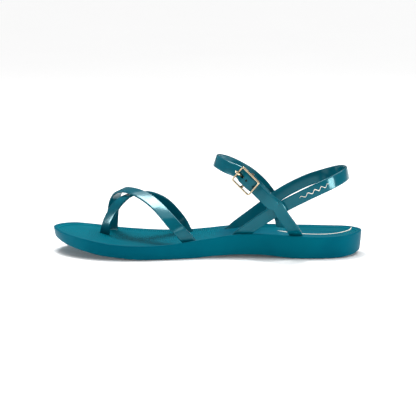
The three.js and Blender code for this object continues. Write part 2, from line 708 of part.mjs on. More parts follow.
const sandal = new THREE.Group();
for (const [name, solid, finish] of pieces) {
  const centred = solid.translate([-middle[0], -middle[1], 0]);
  const mesh = new THREE.Mesh(toGeometry(centred), new THREE.MeshStandardMaterial(finish));
  mesh.name = name;
  sandal.add(mesh);
}

export default sandal;
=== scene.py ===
"""Strappy toe-post sandal, left foot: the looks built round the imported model."""
import math
from functools import partial

import bmesh
import bpy
import numpy as np
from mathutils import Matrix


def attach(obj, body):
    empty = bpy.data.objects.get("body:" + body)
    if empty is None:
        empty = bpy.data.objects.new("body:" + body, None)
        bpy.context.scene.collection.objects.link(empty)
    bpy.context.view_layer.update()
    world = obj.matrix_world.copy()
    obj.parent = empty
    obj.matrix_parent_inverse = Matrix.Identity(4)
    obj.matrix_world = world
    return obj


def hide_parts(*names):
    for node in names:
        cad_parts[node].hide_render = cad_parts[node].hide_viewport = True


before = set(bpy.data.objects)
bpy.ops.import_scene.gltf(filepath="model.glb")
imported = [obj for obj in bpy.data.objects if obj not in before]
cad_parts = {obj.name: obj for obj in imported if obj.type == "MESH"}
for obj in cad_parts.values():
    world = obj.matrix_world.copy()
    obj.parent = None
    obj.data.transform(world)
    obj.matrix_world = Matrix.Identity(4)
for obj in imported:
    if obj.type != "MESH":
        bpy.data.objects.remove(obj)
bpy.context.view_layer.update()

# Camera ---------------------------------------------------------------------------------------
# A long lens a little above the sandal, looking at its outer side and turned slightly to the heel.
# Sizes in this file are millimetres until a mesh is made. `origin` is where the drawing's own
# origin lies in the model.
MM = 0.001
origin = np.array([1.165, -0.285, 0])
aim = origin + (0, 0, 36.2)
distance, view_width = 1200, 338.8
turn, tilt = math.radians(1.5), math.radians(9.3)
back = np.array([math.sin(turn) * math.cos(tilt), -math.cos(turn) * math.cos(tilt), math.sin(tilt)])
camera_data = bpy.data.cameras.new("camera")
camera = bpy.data.objects.new("camera", camera_data)
bpy.context.scene.collection.objects.link(camera)
camera.location = (aim + back * distance) * MM
camera.rotation_euler = (math.pi / 2 - tilt, 0, turn)
camera_data.sensor_width = 36
camera_data.lens = camera_data.sensor_width * distance / view_width
camera_data.clip_start, camera_data.clip_end = 0.05, 60
bpy.context.scene.camera = camera

# Moulded sole ---------------------------------------------------------------------------------
# One injection-moulded vinyl shell: a drafted wall, a rolled rim, and a dished footbed with fine
# ribs. The straps pass through moulded slots, and their plugs sit in pockets under the sole.
rim_side = [(-127.3, 19.8), (-117, 18.3), (-100, 16.1), (-75, 13), (-50, 11.9), (-25, 12.8), (0, 16.1),
            (20, 18.8), (45, 19.9), (75, 18.4), (100, 17.9), (125, 19.6)]
under_side = [(-127.3, 12.4), (-121, 10.6), (-114, 8.6), (-101.4, 6.1), (-95, 5), (-85, 3.3), (-73, 2.2),
              (-62, 1.1), (-53, 0.45), (-45, 0.4), (-40, 0.4), (-13, 0.4), (-8, 0.4), (-1, 1.1), (12, 1.9),
              (25, 2.5), (44, 2.5), (53, 1.8), (64, 0.6), (70, 0.4), (75, 0.4), (98, 0.4), (104, 0.4),
              (111, 0.8), (118, 1.7), (125, 3.8)]
plan_points = [(-127.3, 8), (-122.5, 26), (-112.5, 38), (-97, 42), (-80, 42.6), (-60, 41.5),
               (-35, 36), (-5, 26), (30, 21), (60, 24), (90, 29), (113, 22), (125, 0), (113, -22),
               (90, -30), (60, -29), (30, -26.5), (0, -29), (-30, -36.5), (-55, -41), (-80, -39),
               (-103, -28.5), (-119.5, -12)]
rim_height, dish_depth, wall_draft, foot_radius, rim_radius = 1.5, 1.2, 1.2, 1.0, 0.9
wall_crown = 0.12
bed_start, bed_run, flat_start = 1.4, 4.2, 6.2  # insets where the bed falls from the rim, and by how much


def side_height(x, pairs):
    """Height at x: a cubic between the given pairs, with each pair's slope taken from its neighbours."""
    p = np.array(pairs, float)
    run = p[np.minimum(np.arange(len(p)) + 1, len(p) - 1)] - p[np.maximum(np.arange(len(p)) - 1, 0)]
    slope = run[:, 1] / run[:, 0]
    i = np.clip(np.searchsorted(p[:, 0], x) - 1, 0, len(p) - 2)
    span = p[i + 1, 0] - p[i, 0]
    t = np.clip((x - p[i, 0]) / span, 0, 1)
    rise, m0, m1 = p[i + 1, 1] - p[i, 1], slope[i] * span, slope[i + 1] * span
    return p[i, 1] + t * (m0 + t * (3 * rise - 2 * m0 - m1 + t * (m0 + m1 - 2 * rise)))


def closed_curve(points, steps):
    """Closed cubic curve through the points, its end slopes weighed by the square roots of the spans."""
    p1 = np.array(points, float)
    p0, p2, p3 = np.roll(p1, 1, 0), np.roll(p1, -1, 0), np.roll(p1, -2, 0)
    d0, d1, d2 = (np.sqrt(np.linalg.norm(b - a, axis=1))[:, None]
                  for a, b in ((p0, p1), (p1, p2), (p2, p3)))
    m1 = (d1 * ((p1 - p0) / d0 - (p2 - p0) / (d0 + d1) + (p2 - p1) / d1))[:, None]
    m2 = (d1 * ((p2 - p1) / d1 - (p3 - p1) / (d1 + d2) + (p3 - p2) / d2))[:, None]
    t = np.linspace(0, 1, steps, endpoint=False)[None, :, None]
    return ((2 * t**3 - 3 * t**2 + 1) * p1[:, None] + (t**3 - 2 * t**2 + t) * m1
            + (3 * t**2 - 2 * t**3) * p2[:, None] + (t**3 - t**2) * m2).reshape(-1, 2)


plan = closed_curve(plan_points, 60)
tip, heel = int(plan[:, 0].argmin()), int(plan[:, 0].argmax())
inner_side = np.roll(plan, -tip, 0)[: (heel - tip) % len(plan) + 1]
outer_side = np.roll(plan, -heel, 0)[: (tip - heel) % len(plan) + 1][::-1]


toe_hub, heel_hub = inner_side[0, 0] + 34, inner_side[-1, 0] - 28


def middle_of(x):
    """Middle line of the sole at x. It stops at the two hubs, where the footbed fans out."""
    held = np.clip(x, toe_hub, heel_hub)
    both = [np.interp(held, side[:, 0], side[:, 1]) for side in (inner_side, outer_side)]
    return np.stack([held, (both[0] + both[1]) / 2], -1)


def make_piece(name, points, faces, body, smooth=35):
    """A mesh object from points in millimetres, smooth but for edges sharper than `smooth` degrees."""
    mesh = bpy.data.meshes.new(name)
    mesh.from_pydata(((np.asarray(points) + origin) * MM).tolist(), [], faces)
    mesh.validate()
    piece = bpy.data.objects.new(name, mesh)
    bpy.context.scene.collection.objects.link(piece)
    tidy(piece, smooth)
    if body:
        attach(piece, body)
    return piece


def tidy(piece, smooth=35):
    """Merges doubled points, turns the faces outwards and sets the shading."""
    shell = bmesh.new()
    shell.from_mesh(piece.data)
    bmesh.ops.remove_doubles(shell, verts=shell.verts, dist=1e-6)
    bmesh.ops.recalc_face_normals(shell, faces=shell.faces)
    shell.to_mesh(piece.data)
    shell.free()
    piece.data.shade_smooth()
    piece.data.set_sharp_from_angle(angle=math.radians(smooth))


def grid_faces(rows, columns, wrap=True):
    """Quads between neighbouring rows of a grid whose columns close on themselves."""
    width = columns if wrap else columns - 1
    j, i = np.meshgrid(np.arange(rows - 1), np.arange(width), indexing="ij")
    k = (i + 1) % columns
    return np.stack([j * columns + i, j * columns + k, (j + 1) * columns + k, (j + 1) * columns + i],
                    -1).reshape(-1, 4)


def sole_surface(steps=230):
    """Rings of the plan drawn in towards the middle line; height follows the inset from the edge."""
    lengths = (1 - np.cos(np.pi * np.arange(steps + 1) / steps)) / 2
    x = inner_side[0, 0] + lengths * (inner_side[-1, 0] - inner_side[0, 0])
    inner = np.stack([x, np.interp(x, inner_side[:, 0], inner_side[:, 1])], -1)
    outer = np.stack([x, np.interp(x, outer_side[:, 0], outer_side[:, 1])], -1)
    edge = np.concatenate([inner, outer[-2:0:-1]])
    centre = middle_of(edge[:, 0])
    reach = np.linalg.norm(edge - centre, axis=1)
    bend = np.sin(np.radians(np.linspace(0, 90, 7)))
    drop = 1 - np.cos(np.radians(np.linspace(0, 90, 7)))
    rows = []

    def ring(part, height):
        spot = centre + (edge - centre) * part[:, None]
        rows.append(np.column_stack([spot, height(spot[:, 0], part, (1 - part) * reach)]))

    def foot(x, part, away, rise=0):
        return side_height(x, under_side) + foot_radius * rise

    def rim(x, part, away, fall):
        return side_height(x, rim_side) - rim_radius * fall

    def wall(x, part, away, share):
        return foot(x, part, away, 1) * (1 - share) + rim(x, part, away, 1) * share

    def bed(x, part, away):
        fall = np.clip((away - bed_start) / bed_run, 0, 1)
        sink = rim_height + dish_depth * (1 - part**2)
        return side_height(x, rim_side) - sink * fall**2 * (3 - 2 * fall)

    for share in (0, 0.35, 0.7, 0.88):
        ring(np.full(len(edge), share), foot)
    for b, d in zip(bend, drop):
        ring(1 - (wall_draft + foot_radius * (1 - b)) / reach, partial(foot, rise=d))
    for k in np.linspace(0, 1, 9)[1:-1]:
        inset = wall_draft * (1 - k) - wall_crown * math.sin(math.pi * k)
        ring(1 - inset / reach, partial(wall, share=k))
    for b, d in zip(bend[::-1], drop[::-1]):
        ring(1 - rim_radius * (1 - b) / reach, partial(rim, fall=d))
    for inset in np.arange(1.3, flat_start, 0.35):
        ring(1 - inset / reach, bed)
    for share in np.linspace(1, 0, 22):
        ring((1 - flat_start / reach) * share, bed)
    return np.array(rows)


shell_rows = sole_surface()
sole_faces = grid_faces(*shell_rows.shape[:2])
sole = make_piece("moulded_sole", shell_rows.reshape(-1, 3), sole_faces.tolist(), None)


def mark_inset(piece):
    """Face-corner map for the footbed pattern, in metres: (inset from the edge, 30 mm x the bearing)."""
    place = np.empty(len(piece.data.vertices) * 3)
    piece.data.vertices.foreach_get("co", place)
    place = place.reshape(-1, 3) / MM - origin
    middle = middle_of(place[:, 0])
    away = place[:, :2] - middle
    angle = np.arctan2(away[:, 1], away[:, 0])
    held = (place[:, 0] > toe_hub) & (place[:, 0] < heel_hub)
    side_y = np.where(away[:, 1] > 0, np.interp(place[:, 0], inner_side[:, 0], inner_side[:, 1]),
                      np.interp(place[:, 0], outer_side[:, 0], outer_side[:, 1]))
    reach = np.abs(side_y - middle[:, 1])
    for x, way in ((toe_hub, -1), (heel_hub, 1)):
        part = plan[(plan[:, 0] - x) * way > 0] - middle_of(np.array([x]))[0]
        turn_of = np.arctan2(part[:, 1], part[:, 0] * way)
        order = np.argsort(turn_of)
        here = (place[:, 0] - x) * way >= 0
        own = np.arctan2(away[here, 1], away[here, 0] * way)
        reach[here] = np.interp(own, turn_of[order], np.linalg.norm(part[order], axis=1))
    inset = np.maximum(0, reach - np.where(held, np.abs(away[:, 1]), np.linalg.norm(away, axis=1)))
    corner = np.empty(len(piece.data.loops), int)
    piece.data.loops.foreach_get("vertex_index", corner)
    layer = piece.data.uv_layers.new(name="inset")
    layer.data.foreach_set("uv", (np.stack([inset, angle * 30], -1) * MM)[corner].ravel())


# Toe straps -----------------------------------------------------------------------------------
# Two glossy vinyl bands that cross over the toes and form the big-toe loop. Each is moulded with
# chamfered edges and ends in a flat plug, which is pushed up into its pocket under the sole.
strap_width, strap_thickness, slot_gap = 10, 2, 0.35
plug_size, plug_depth = (15, 7, 2.2), 3


def stationed(x, y, ax, ay, az):
    """A strap's station inside its pocket: the middle of a plug that sits above the underside."""
    underside = float(side_height(np.array([x]), under_side)[0])
    return (x, y, underside + plug_depth + plug_size[2] / 2, ax, ay, az)


def past_plug(first, second):
    """A station beyond the plug, 0.8 of a span further down, so that the strap enters it straight."""
    a, b = np.array(first, float), np.array(second, float)
    return tuple(np.concatenate([a[:3] - 0.8 * (b[:3] - a[:3]), a[3:]]))


def follow(stations, t):
    """Middle line and axes of a strap at t: cubics through the stations, slopes from the neighbours."""
    s = np.array(stations, float)
    s[:, 3:] /= np.linalg.norm(s[:, 3:], axis=1)[:, None]
    p = np.vstack([2 * s[0] - s[1], s, 2 * s[-1] - s[-2]])
    u = np.asarray(t, float) * (len(s) - 1)
    i = np.clip(u.astype(int), 0, len(s) - 2)
    w = (u - i)[:, None]
    a, b, c, d = (p[i + k] for k in range(4))
    spot = 0.5 * (2 * b + (c - a) * w + (2 * a - 5 * b + 4 * c - d) * w**2 + (3 * b - a - 3 * c + d) * w**3)
    pace = 0.5 * (c - a + 2 * (2 * a - 5 * b + 4 * c - d) * w + 3 * (3 * b - a - 3 * c + d) * w**2)[:, :3]
    along = pace / np.linalg.norm(pace, axis=1)[:, None]
    across = spot[:, 3:] - along * (spot[:, 3:] * along).sum(1)[:, None]
    across /= np.linalg.norm(across, axis=1)[:, None]
    return spot[:, :3], across, np.cross(along, across), along


def strap_section(width, thickness, chamfer=0.6, fall=0.5, soft=0.22):
    """Outline of a strap: a flat bar with a shallow chamfer on each edge, every corner a small curve."""
    w, h = width / 2, thickness / 2
    p = np.array([(-w + chamfer, -h), (w - chamfer, -h), (w, -h + fall), (w, h - fall), (w - chamfer, h),
                  (-w + chamfer, h), (-w, h - fall), (-w, -h + fall)])
    before, after = np.roll(p, 1, 0) - p, np.roll(p, -1, 0) - p
    before /= np.linalg.norm(before, axis=1)[:, None]
    after /= np.linalg.norm(after, axis=1)[:, None]
    k = np.linspace(0, 1, 4)[None, :, None]
    start, end = (p + before * soft)[:, None], (p + after * soft)[:, None]
    return ((1 - k) ** 2 * start + 2 * k * (1 - k) * p[:, None] + k**2 * end).reshape(-1, 2)


def band_points(stations, t, section, width_at=None, thick_at=None):
    """The section set square to the strap's middle line at each t."""
    centre, across, face, along = follow(stations, t)
    wide = np.ones(len(t)) if width_at is None else width_at
    deep = np.ones(len(t)) if thick_at is None else thick_at
    return (centre[:, None] + across[:, None] * (section[None, :, :1] * wide[:, None, None])
            + face[:, None] * (section[None, :, 1:] * deep[:, None, None]))


def band(name, stations, t, section, body=None, slot=None, **sizes):
    """A closed strap: the section carried along the stations, with a cap on each end."""
    rows = band_points(stations, t, section, **sizes)
    count = rows.shape[1]
    last = (len(t) - 1) * count
    faces = grid_faces(len(t), count).tolist() + [list(range(count))[::-1], list(range(last, last + count))]
    return make_piece(name, rows.reshape(-1, 3), faces, body)


def block(centre, axes, size, bevel=0):
    """A box on the given axes with its edges rounded by `bevel`."""
    corners = np.array([(x, y, z) for x in (-1, 1) for y in (-1, 1) for z in (-1, 1)]) * np.array(size) / 2
    faces = [(0, 1, 3, 2), (4, 6, 7, 5), (0, 4, 5, 1), (2, 3, 7, 6), (0, 2, 6, 4), (1, 5, 7, 3)]
    piece = make_piece("block", corners @ np.array(axes) + centre, faces, None)
    if bevel:
        shell = bmesh.new()
        shell.from_mesh(piece.data)
        bmesh.ops.bevel(shell, geom=list(shell.edges), offset=bevel * MM, segments=2, affect="EDGES",
                        profile=0.5)
        shell.to_mesh(piece.data)
        shell.free()
    return piece


def carve(piece, tool, operation="DIFFERENCE"):
    """Joins the tool to the piece or cuts it out, and discards the tool."""
    step = piece.modifiers.new("carve", "BOOLEAN")
    step.object, step.operation, step.solver = tool, operation, "MANIFOLD"
    bpy.context.view_layer.update()
    shaped = bpy.data.meshes.new_from_object(piece.evaluated_get(bpy.context.evaluated_depsgraph_get()))
    piece.modifiers.clear()
    piece.data = shaped
    bpy.data.objects.remove(tool)
    tidy(piece)
    return piece


def plug_axes(stations, t):
    """A plug lies level: its long side along the strap's width, its thickness upright."""
    centre, across, _, _ = follow(stations, np.array([t]))
    flat = np.array([across[0, 0], across[0, 1], 0])
    flat /= np.linalg.norm(flat)
    return centre[0], (flat, np.cross((0, 0, 1), flat), (0, 0, 1))


slot_tools = []


def plugged(name, stations, ends, body, pivot=None, rock=0, extra=None, **sizes):
    """A strap with its plugs. Its slots, swept through the angles it rocks by, are kept for the sole."""
    run = list(stations)
    if "start" in ends:
        run.insert(0, past_plug(stations[0], stations[1]))
    if "end" in ends:
        run.append(past_plug(stations[-1], stations[-2]))
    spans = len(run) - 1
    t0, t1 = (1 / spans if "start" in ends else 0), (1 - 1 / spans if "end" in ends else 1)
    t = np.linspace(t0, t1, spans * 14)
    if extra is not None:
        t = np.union1d(t, extra)
    sizes = {key: value(run, t) for key, value in sizes.items()}
    piece = band(name, run, t, strap_section(strap_width, strap_thickness), body, "strap_vinyl", **sizes)
    for end in ends:
        at, reach = (t0, (0, 3.5 / spans)) if end == "start" else (t1, (1 - 3.5 / spans, 1))
        centre, axes = plug_axes(run, at)
        carve(piece, block(centre, axes, plug_size, 0.4), "UNION")
        wide = strap_section(strap_width + 2 * slot_gap, strap_thickness + 2 * slot_gap)
        deep = plug_size[2] + 5.6
        for angle in ((0,) if not rock else (-rock, 0, rock)):
            slot = band("slot", run, np.linspace(*reach, 50), wide)
            pocket_centre = centre + np.array([0, 0, plug_size[2] / 2 + slot_gap - deep / 2])
            carve(slot, block(pocket_centre, axes, (plug_size[0] + 0.7, plug_size[1] + 0.7, deep)), "UNION")
            if angle:
                swing = math.radians(angle)
                hinge = origin + (pivot[0], 0, pivot[1])
                place = np.array([v.co for v in slot.data.vertices]) / MM - hinge
                c, s = math.cos(swing), math.sin(swing)
                place = place @ np.array([(c, 0, -s), (0, 1, 0), (s, 0, c)]) + hinge
                slot.data.vertices.foreach_set("co", (place * MM).ravel())
            slot_tools.append(slot)
    return piece, run


cross = (-62.8, 12.9, 48.1)
over_stations = [
    stationed(-9, -23.5, -0.87, 0, -0.48), (-13.5, -26.8, 12.5, -0.8, 0, -0.6),
    (-25.5, -27.5, 25.8, -0.78, -0.19, -0.6), (-39.3, -13.5, 38.3, -0.79, -0.5, -0.36),
    (-50.5, 0, 44.8, -0.72, -0.56, -0.38), (*cross, -0.7, -0.65, -0.25),
    (-73.3, 24, 46.7, -0.71, -0.65, -0.27), (-78.6, 32.1, 38.7, -0.81, -0.58, -0.08),
    (-80.8, 36, 27.4, -0.92, -0.39, 0.03), (-82, 36.4, 13.2, -0.99, -0.14, 0.08),
    stationed(-82, 34.6, -1, 0, 0)]
under_stations = [
    stationed(-14.8, 21.8, -0.9, 0, -0.45), (-19, 25.3, 12.5, -0.89, -0.07, -0.45),
    (-24.9, 29, 22.2, -0.8, 0.19, -0.57), (-37, 27.1, 36.4, -0.65, 0.46, -0.6),
    (-51, 21.1, 44.2, -0.58, 0.66, -0.46),
    (cross[0] - 0.5, cross[1] + 1.5, cross[2] - 3.4, -0.43, 0.9, -0.08),
    (-71.5, 11.2, 40.3, -0.5, 0.82, 0.2), (-77.8, 11.9, 33, -0.52, 0.72, 0.4),
    (-83.4, 14.1, 22.3, -0.66, 0.68, 0.3), (-86, 15.9, 12, -0.8, 0.59, 0.1),
    stationed(-86.4, 16.6, -0.8, 0.6, 0)]
over_strap, _ = plugged("toe_strap_over", over_stations, ("start", "end"), "sole")
under_strap, _ = plugged("toe_strap_under", under_stations, ("start", "end"), "sole")
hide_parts("toe_over_strap")
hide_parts("toe_under_strap")

# Heel strap -----------------------------------------------------------------------------------
# One band of the same moulding, from the arch on the outer side round the heel to the inner side.
# It rocks a few degrees in its two slots, and carries a small printed wave instead of a mark.
heel_stations = [
    stationed(16.5, -19.5, -0.8, 0, 0.6), (25, -21.2, 16.5, -0.75, -0.1, 0.6),
    (43.2, -28, 31.4, -0.64, -0.2, 0.75), (60.7, -31, 42.9, -0.55, -0.12, 0.81),
    (80, -31.5, 53, -0.42, -0.05, 0.9), (97, -27.5, 60.5, -0.33, -0.04, 0.94),
    (108.6, -16, 65, -0.25, -0.03, 0.97), (112.6, 0, 66, -0.22, 0, 0.98),
    (108.6, 16, 65, -0.25, 0.02, 0.97), (97, 27.5, 60.5, -0.31, 0, 0.95),
    (80, 31, 54.2, -0.4, -0.01, 0.91), (60, 29.8, 43.8, -0.53, 0, 0.84),
    (40.5, 26.3, 29.8, -0.59, 0.04, 0.81), (21, 17, 16.3, -0.7, 0.1, 0.65),
    stationed(12.5, 15.4, -0.8, 0, 0.6)]
heel_strap, heel_run = plugged("heel_band", heel_stations, ("start", "end"), "heel_strap",
                               pivot=(19, 11.5), rock=6)
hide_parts("slingback_strap")


def ribbon(name, centre, side, face, width, thick, body):
    """A thin closed print: a flat bar of the given half widths along a line, tapered at both ends."""
    offset = np.array([(-1, -1), (1, -1), (1, 1), (-1, 1)]) * 0.5
    rows = (centre[:, None] + side[:, None] * (offset[None, :, :1] * width[:, None, None])
            + face[:, None] * (offset[None, :, 1:] * thick))
    last = (len(centre) - 1) * 4
    faces = grid_faces(len(centre), 4).tolist() + [[3, 2, 1, 0], [last, last + 1, last + 2, last + 3]]
    return make_piece(name, rows.reshape(-1, 3), faces, body)


wave_t = np.linspace(0.29, 0.372, 260)
wave_at, wave_across, wave_face, wave_along = follow(heel_run, wave_t)
sway = np.sin(np.linspace(0, 9 * math.pi, 260)) * 1.0
sway_side = wave_across + wave_along * 0.25
wave_height = strap_thickness / 2 + 0.03
wave = ribbon("printed_wave", wave_at + wave_across * sway[:, None] + wave_face * wave_height,
              sway_side / np.linalg.norm(sway_side, axis=1)[:, None], wave_face,
              0.15 + 0.5 * np.sin(np.linspace(0, math.pi, 260)) ** 0.6, 0.12, "heel_strap")

# Ankle strap and buckle places ----------------------------------------------------------------
# The long strap comes round the front of the ankle from the inner side, runs through the buckle
# and ends in a round tip. The short strap is folded round the buckle's centre bar and riveted.
buckle_at = np.array([31, -36, 64.1])


def unit(v):
    """The direction of v, one unit long."""
    return np.array(v, float) / np.linalg.norm(v)


buckle_along = unit((0.7, -0.28, -0.656))
buckle_face = unit(np.cross(buckle_along, (0.614, -0.22, 0.755)))
buckle_across = np.cross(buckle_face, buckle_along)
buckle_axes = np.array([buckle_along, buckle_across, buckle_face])
bar_x, under_bar, over_centre, bar_z, layer_step = 9.05, -2.6, -0.6, -4.35, 2.35
outer_layer, inner_layer, fold_x = -2.65, bar_z - 2.6, -9.6


def in_buckle(along, out, sign=1):
    """A strap station in the buckle's own axes: along the strap and out of the buckle's face."""
    return (*(buckle_at + buckle_along * along + buckle_face * out), *(buckle_across * sign))


long_stations = [
    stationed(62, 17.2, 0.97, 0, 0.22), (61, 18.9, 16.5, 0.93, 0.02, 0.35),
    (58.1, 31.6, 28.8, 0.88, 0, 0.46), (52.7, 35, 39.5, 0.8, -0.01, 0.6),
    (44.2, 35.5, 50.6, 0.71, -0.01, 0.7), (34.4, 33.5, 59.7, 0.62, 0, 0.78),
    (24.5, 29, 66.3, 0.51, 0.01, 0.86), (15.6, 21, 71.4, 0.42, 0.04, 0.9), (9, 11, 74.4, 0.35, 0.03, 0.93),
    (6.4, 0, 75.4, 0.31, 0, 0.95), (9, -11, 74.9, 0.35, -0.05, 0.93), (15.2, -21.3, 72.9, 0.42, -0.1, 0.9),
    in_buckle(-bar_x, under_bar), in_buckle(-bar_x / 2, over_centre - 0.25), in_buckle(0, over_centre),
    in_buckle(bar_x / 2, over_centre - 0.25), in_buckle(bar_x, under_bar),
    in_buckle(bar_x + 6, under_bar + 0.1), in_buckle(bar_x + 14, under_bar - 0.2),
    in_buckle(bar_x + 23, under_bar - 2.6)]
short_stations = [
    stationed(76.5, -21.2, -0.87, 0, -0.45), (71.8, -23.9, 17, -0.88, 0.2, -0.3),
    (66.3, -31, 27, -0.84, 0.3, -0.45), (60.2, -34.8, 36, -0.8, 0.3, -0.51),
    in_buckle(bar_x + 22, under_bar - 3.4 - layer_step, -1),
    in_buckle(bar_x + 12, under_bar - layer_step, -1),
    in_buckle(bar_x + 4, under_bar - layer_step, -1), in_buckle(bar_x, under_bar - layer_step + 0.1, -1),
    in_buckle(bar_x / 2, outer_layer - 0.6, -1), in_buckle(0, outer_layer, -1),
    in_buckle(-bar_x / 2, outer_layer - 0.5, -1), in_buckle(fold_x + 1.2, outer_layer - 2, -1),
    in_buckle(fold_x, (outer_layer + inner_layer) / 2 - 0.8, -1),
    in_buckle(fold_x + 1.4, inner_layer - 1, -1),
    in_buckle(-bar_x / 2, inner_layer - 1.1, -1), in_buckle(0, inner_layer - 0.8, -1),
    in_buckle(bar_x / 2, inner_layer - 0.6, -1), in_buckle(bar_x, under_bar - 2 * layer_step - 0.9, -1),
    in_buckle(bar_x + 5, under_bar - 2 * layer_step + 0.3, -1),
    in_buckle(bar_x + 11, under_bar - 2 * layer_step + 0.35, -1)]


def round_tip(run, t):
    """Width share near the free end: a half circle as wide as the strap."""
    centre = follow(run, t)[0]
    left = np.clip(np.linalg.norm(centre - centre[-1], axis=1) / (strap_width / 2), 0, 1)
    return np.where(t < 0.9, 1, np.maximum(0.05, np.sqrt(1 - (1 - left) ** 2)))


def thinned_fold(run, t):
    """Thickness share: 1 up to the buckle, then 0.7 where the strap folds round the centre bar."""
    return 1 - 0.3 * np.clip(t * (len(run) - 1) - 7, 0, 1)


long_strap, long_run = plugged("ankle_band_long", long_stations, ("start",), "ankle_ring", pivot=(68, 11.5),
                               rock=5, extra=1 - 0.03 * np.linspace(0, 1, 24) ** 2,
                               width_at=round_tip)
short_strap, short_run = plugged("ankle_band_short", short_stations, ("start",), "ankle_ring",
                                 pivot=(68, 11.5), rock=5, thick_at=thinned_fold)
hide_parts("ankle_strap_long")
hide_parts("ankle_strap_short")


def placed_disc(centre, axes, radius, low, high, sides=32):
    """A round cutter or bar between two heights on the third of the given axes."""
    turn_of = np.linspace(0, 2 * math.pi, sides, endpoint=False)
    circle = np.stack([np.cos(turn_of), np.sin(turn_of)], -1) * radius
    rows = np.array([np.column_stack([circle, np.full(sides, z)]) for z in (low, high)])
    faces = grid_faces(2, sides).tolist() + [list(range(sides))[::-1], list(range(sides, 2 * sides))]
    return make_piece("disc", rows.reshape(-1, 3) @ np.array(axes) + centre, faces, None)


def prong_slot(start, end, low, high, radius=1.3):
    """A slot with round ends for the prong, along the strap between two places."""
    turn_of = np.linspace(-math.pi / 2, math.pi / 2, 16)
    right = np.stack([end - radius + radius * np.cos(turn_of), radius * np.sin(turn_of)], -1)
    left = np.stack([start + radius - radius * np.cos(turn_of), -radius * np.sin(turn_of)], -1)
    oval = np.concatenate([right, left])
    rows = np.array([np.column_stack([oval, np.full(32, z)]) for z in (low, high)])
    faces = grid_faces(2, 32).tolist() + [list(range(32))[::-1], list(range(32, 64))]
    return make_piece("slot", rows.reshape(-1, 3) @ buckle_axes + buckle_at, faces, None)


carve(long_strap, prong_slot(-bar_x + 0.7, -bar_x + 6.2, -4.5, 1.4))
for along in (0, 7.5):
    samples = np.linspace(0.5, 1, 2001)
    line = follow(long_run, samples)[0]
    target = buckle_at + buckle_along * along + buckle_face * over_centre
    at = samples[np.linalg.norm(line - target, axis=1).argmin()]
    centre, across, face, along_axis = (v[0] for v in follow(long_run, np.array([at])))
    carve(long_strap, placed_disc(centre, (across, along_axis, face), 0.95, -3, 3))
carve(short_strap, prong_slot(-6.1, 2.8, bar_z - 0.7, over_centre))
samples = np.linspace(0, 1, 4001)[:2400]
line = follow(short_run, samples)[0]
rivet_target = buckle_at + buckle_along * (bar_x + 7.5) + buckle_face * (under_bar - layer_step)
rivet_t = samples[np.linalg.norm(line - rivet_target, axis=1).argmin()]
rivet_centre, rivet_across, rivet_face, rivet_along = (v[0] for v in follow(short_run, np.array([rivet_t])))
rivet_axes = (rivet_across, rivet_along, rivet_face)
carve(short_strap, placed_disc(rivet_centre, rivet_axes, 3.2, -0.3, 2))
carve(short_strap, placed_disc(rivet_centre, rivet_axes, 1.8, -5, 0.5))

# Sole slots -----------------------------------------------------------------------------------
# The moulded slots and pockets are cut out of the sole once every strap is in place, because each
# tool is made with its strap.
for tool in slot_tools:
    carve(sole, tool)
mark_inset(sole)
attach(sole, "sole")
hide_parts("sole_body")

# Buckle ---------------------------------------------------------------------------------------
# A small die-cast frame, plated pale gold, with two lugs that hold its centre bar. The prong is
# round wire bent into an eye on that bar.
def frame_rows(half_x, half_y, radius, width, height, steps=14, around=28):
    """A rounded section carried round a rectangle with round corners, in the buckle's axes."""
    corner = np.radians(np.linspace(0, 90, steps))
    path, out = [], []
    for k, (sx, sy) in enumerate(((1, 1), (-1, 1), (-1, -1), (1, -1))):
        angle = corner + k * math.pi / 2
        path.append(np.stack([sx * (half_x - radius) + radius * np.cos(angle),
                              sy * (half_y - radius) + radius * np.sin(angle)], -1))
        out.append(np.stack([np.cos(angle), np.sin(angle)], -1))
        here = path[-1][-1]
        if k in (0, 2):
            more = np.linspace(0, 1, 18)[1:-1, None] * np.array([-2 * sx * (half_x - radius), 0])
        else:
            more = np.linspace(0, 1, 14)[1:-1, None] * np.array([0, -2 * sy * (half_y - radius)])
        path.append(here + more)
        out.append(np.repeat(out[-1][-1:], len(more), 0))
    path, out = np.concatenate(path), np.concatenate(out)
    turn_of = np.linspace(0, 2 * math.pi, around, endpoint=False)
    c, s = np.cos(turn_of), np.sin(turn_of)
    wide, tall = np.sign(c) * np.abs(c) ** 0.62 * width / 2, np.sign(s) * np.abs(s) ** 0.62 * height / 2
    on_end = (np.clip((np.abs(path[:, 0]) - half_x + 0.5) / 0.4, 0, 1)
              * np.clip((half_y - 1.6 - np.abs(path[:, 1])) / 0.6, 0, 1))
    dent = 0.22 * np.exp(-(wide / 0.2) ** 2) * (tall > 0)
    rows = np.concatenate([path[:, None] + out[:, None] * wide[None, :, None],
                           (tall[None, :] - dent[None, :] * on_end[:, None])[..., None]], -1)
    return rows


rail_y, frame_at = 6.85, buckle_at - buckle_across * 0.7
frame_points = frame_rows(bar_x, rail_y, 1.2, 1.4, 1.6)
ring_count, section_count = frame_points.shape[:2]
ring_faces = grid_faces(ring_count + 1, section_count) % (ring_count * section_count)
buckle = make_piece("buckle_casting", frame_points.reshape(-1, 3) @ buckle_axes + frame_at,
                    ring_faces.tolist(), "buckle", 60)
bar_axes = np.array([buckle_along, -buckle_face, buckle_across])
carve(buckle, placed_disc(frame_at + buckle_face * bar_z, bar_axes, 0.7, -rail_y, rail_y), "UNION")
for side in (-1, 1):
    lug = block(frame_at + buckle_across * side * rail_y + buckle_face * (bar_z / 2 - 0.35), buckle_axes,
                (2.4, 1.2, -bar_z + 0.7), 0.32)
    carve(buckle, lug, "UNION")
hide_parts("buckle_frame")


